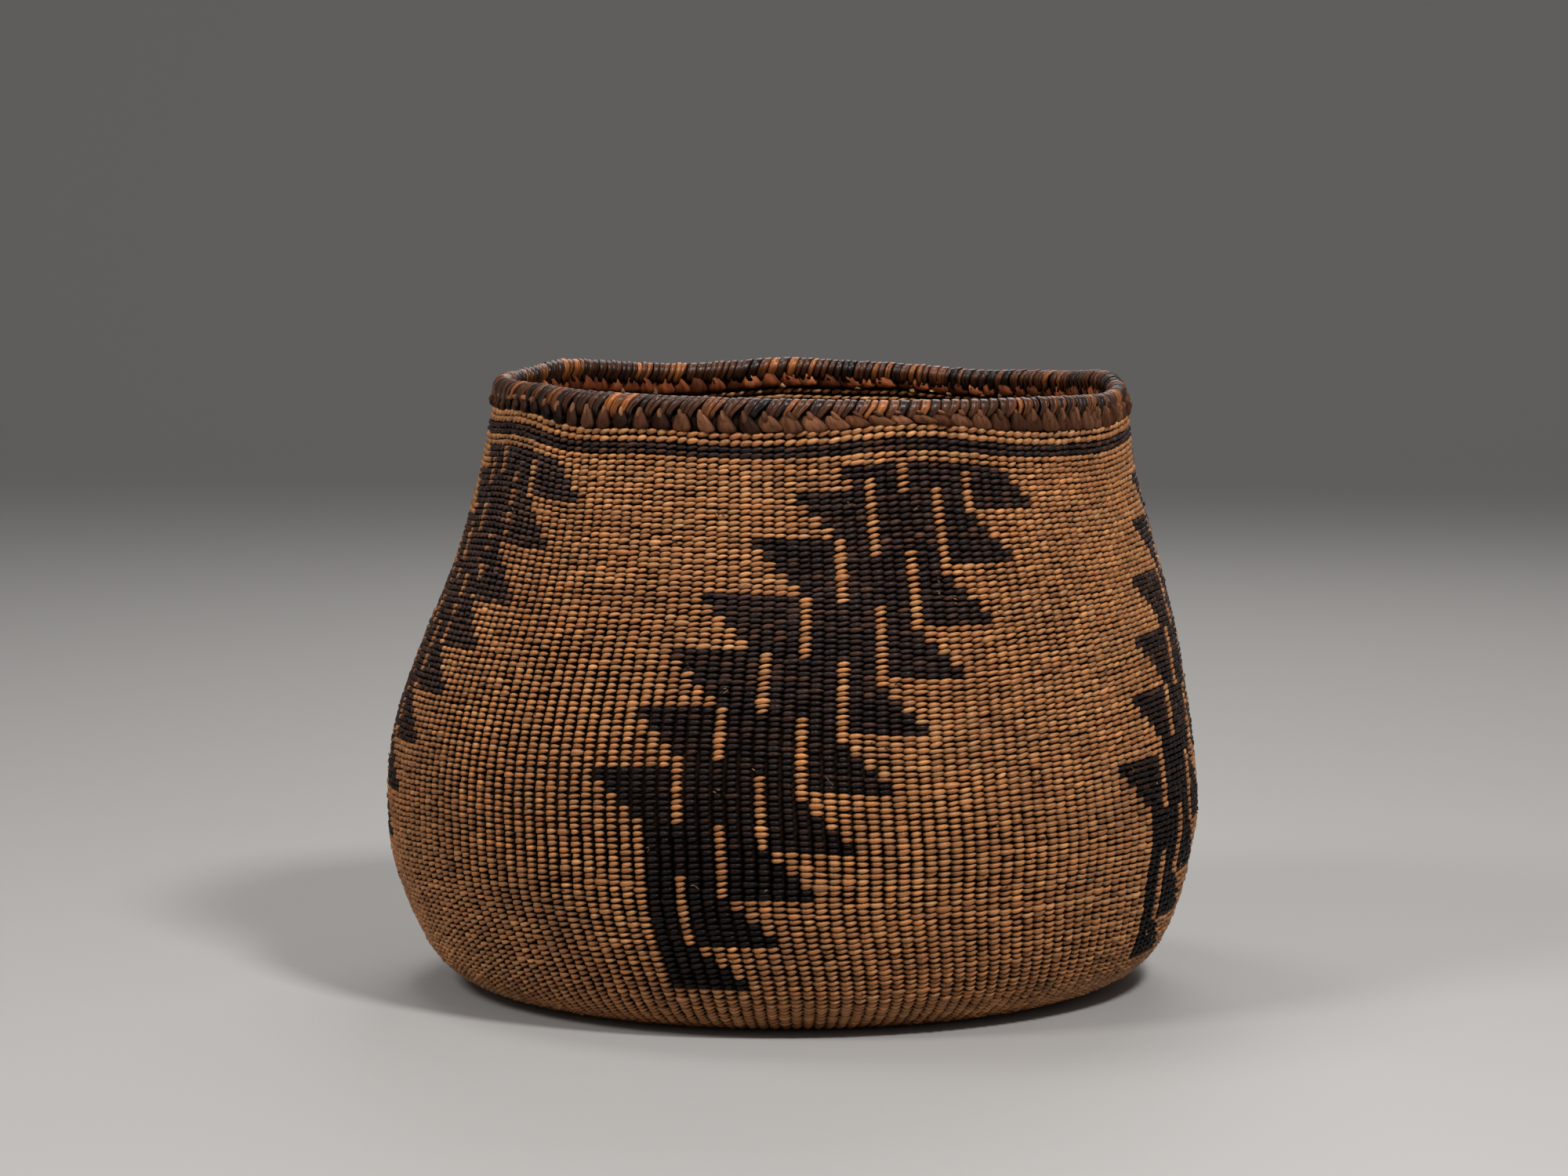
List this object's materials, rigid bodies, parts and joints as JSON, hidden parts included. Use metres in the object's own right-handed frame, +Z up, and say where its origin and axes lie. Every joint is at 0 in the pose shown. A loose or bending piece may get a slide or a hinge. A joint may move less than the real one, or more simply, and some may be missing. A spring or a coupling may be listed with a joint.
{
  "type": "twined basket",
  "caption": "Round-bellied twined basket with a narrower mouth, a lashed hoop rim and stepped dark diagonals over a straw ground.",
  "frame": {"origin": "on the ground plane under the middle of the outer box; the ring that the basket rests on is centred 2 mm to -X of it, because the wall leans a little to +X", "axes": "+Z up through the mouth; the front, with the first dark flight, faces -Y; +X is to the right seen from the front"},
  "size_m": [0.2031, 0.2024, 0.1502],
  "materials": {
    "tan_twining": "satin twined plant strands, warm straw colour with orange and brown strands among them",
    "inner_twining": "matte twined plant strands, darker straw colour",
    "dark_twining": "satin twined strands, brown-black with a purple cast",
    "bark_strip": "glossy brown split root strips",
    "peeled_rod": "matte peeled shoots"
  },
  "bodies": {
    "root": {"start_knot": "tan_twining", "base_weft_inner": "tan_twining", "base_weft_outer": "tan_twining", "heel_weft": "tan_twining", "lower_wall_weft": "tan_twining", "belly_weft": "tan_twining", "shoulder_weft": "tan_twining", "neck_weft": "tan_twining", "dark_band_weft": "dark_twining", "collar_weft": "tan_twining", "base_lining": "inner_twining", "heel_lining": "inner_twining", "belly_lining": "inner_twining", "neck_lining": "inner_twining", "warp_stakes": "peeled_rod", "motif_front": "dark_twining", "motif_right": "dark_twining", "motif_back": "dark_twining", "motif_left": "dark_twining", "rim_hoop": "peeled_rod", "rim_lashing_1": "bark_strip", "rim_lashing_2": "bark_strip", "rim_lashing_3": "bark_strip", "rim_lashing_4": "bark_strip", "tucked_ends": "bark_strip"}
  },
  "joints": []
}
